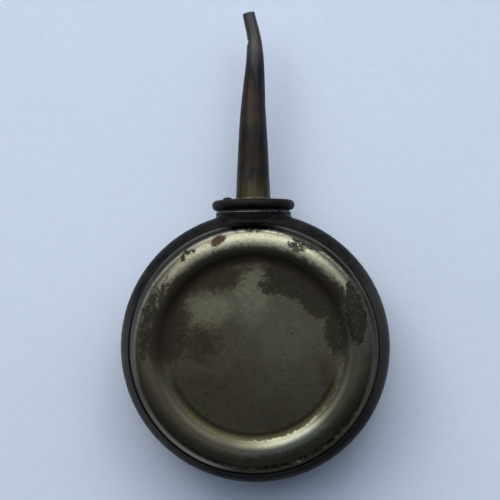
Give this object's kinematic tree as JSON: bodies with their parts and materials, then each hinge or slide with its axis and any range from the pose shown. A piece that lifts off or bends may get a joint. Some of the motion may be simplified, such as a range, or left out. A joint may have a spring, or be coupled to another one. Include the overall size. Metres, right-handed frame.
{
  "type": "handy oiler can",
  "caption": "Flat round squeeze oil can with beaded faces, a short threaded neck on its edge and a long tapered screw-in spout whose tip is bent aside.",
  "frame": {"origin": "on the surface the can lies on, half way along its length and on its long centre line", "axes": "+Y along the neck towards the spout's tip, +Z out of the front face, so +X is to the right when the front face is looked at with the spout up"},
  "size_m": [0.057, 0.1, 0.0185],
  "materials": {
    "dark_band": "blackened steel, worn, with faint brown rust",
    "cover_plate": "tarnished tinned steel, satin, with dark rust staining",
    "neck_metal": "blackened steel with a rubbed bright rim",
    "cap_metal": "blackened steel, semi-gloss, oily",
    "thread_metal": "dull oily steel, cleaner on the thread crests",
    "spout_metal": "brown patina with lengthwise rubbing",
    "spout_solder": "dull aged solder, brownish",
    "solder": "dull solder",
    "dark_solder": "blackened solder",
    "leather": "oil-soaked leather"
  },
  "bodies": {
    "can": {"side_band": "dark_band", "band_lap_strip": "dark_band", "front_cover": "cover_plate", "back_cover": "cover_plate", "front_rim_solder": "solder", "back_rim_solder": "solder", "neck_collar": "neck_metal", "neck_solder": "dark_solder"},
    "front_panel": {"front_press_panel": "cover_plate"},
    "back_panel": {"back_press_panel": "cover_plate"},
    "washer": {"sealing_washer": "leather"},
    "spout": {"spout_cap": "cap_metal", "threaded_plug": "thread_metal", "plug_solder": "solder", "spout_tube": "spout_metal", "spout_lap_seam": "spout_solder", "spout_base_solder": "spout_solder", "cap_solder_drip": "dark_solder"}
  },
  "joints": [
    {"name": "front_press", "type": "slide", "parent": "can", "child": "front_panel", "axis": [0, 0, -1], "range_m": [0, 0.0013], "stiffness_N_per_m": 5000},
    {"name": "back_press", "type": "slide", "parent": "can", "child": "back_panel", "axis": [0, 0, 1], "range_m": [0, 0.0013], "stiffness_N_per_m": 5000},
    {"name": "spout_rise", "type": "slide", "parent": "can", "child": "washer", "axis": [0, 1, 0], "range_m": [0, 0.00763]},
    {"name": "spout_turn", "type": "hinge", "parent": "washer", "child": "spout", "pos_m": [0, 0.00726, 0.00925], "axis": [0, 1, 0], "range_deg": [0, 2160]}
  ],
  "couplings": [
    {"joint": "spout_rise", "follows": "spout_turn", "m_per_rad": 0.00020213}
  ]
}
